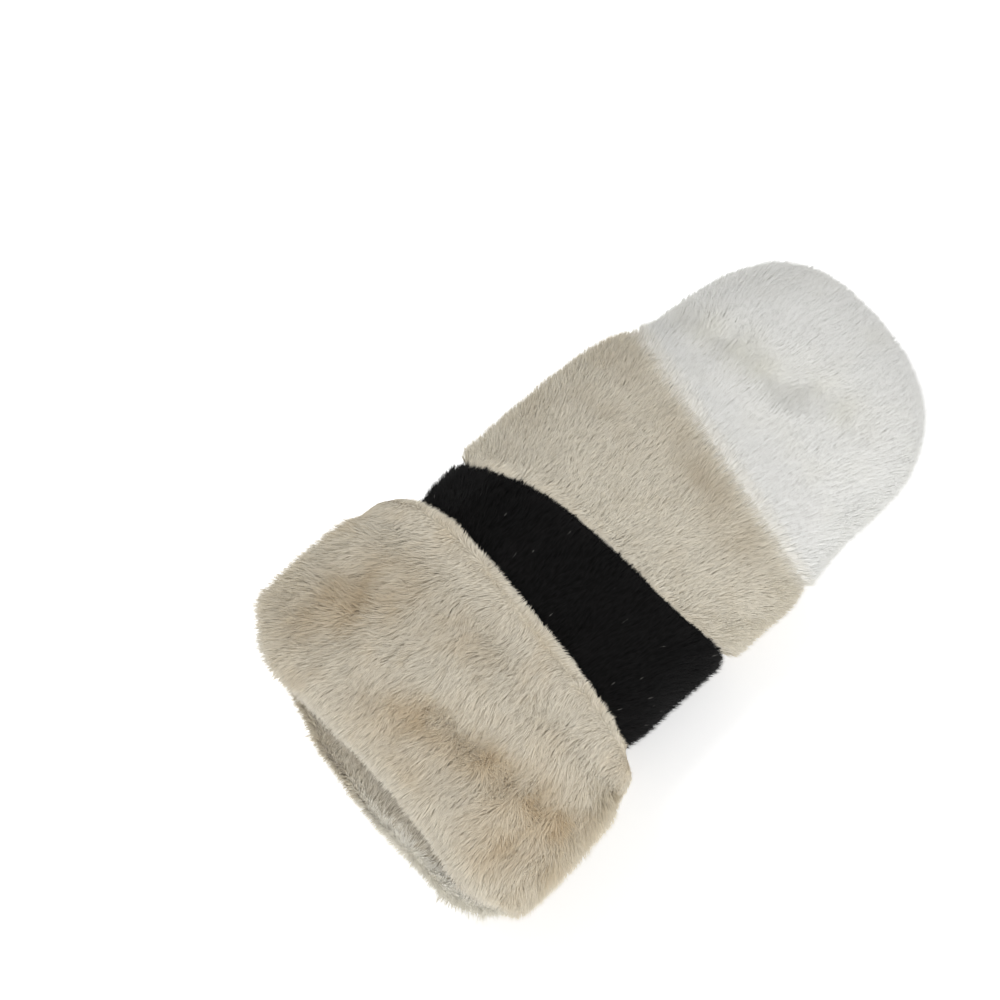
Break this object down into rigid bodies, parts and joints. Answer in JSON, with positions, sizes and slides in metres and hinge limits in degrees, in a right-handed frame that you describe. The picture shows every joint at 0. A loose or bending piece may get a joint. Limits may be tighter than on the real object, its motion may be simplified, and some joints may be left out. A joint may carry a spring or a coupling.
{
  "type": "fur mitten",
  "caption": "Right-hand plush fur mitten in white, beige and black bands with a wide turned-back long-pile cuff, lying palm down.",
  "frame": {"origin": "on the surface that the mitten rests on, under the middle of its outline", "axes": "+Y from the cuff's mouth to the fingertips, +X from the thumb's side to the little finger's side, +Z out of the back of the hand"},
  "size_m": [0.1637, 0.286, 0.0661],
  "materials": {
    "white_fur": "short dense off-white fur pile, brushed towards the fingertips",
    "beige_fur": "short dense beige fur pile with tan patches",
    "black_fur": "short dense black fur pile",
    "cuff_fur": "long soft beige fur pile in loose tufts"
  },
  "bodies": {
    "root": {"tip_panel": "white_fur", "beige_band": "beige_fur", "black_band": "black_fur", "cuff": "cuff_fur", "thumb": "beige_fur"}
  },
  "joints": []
}
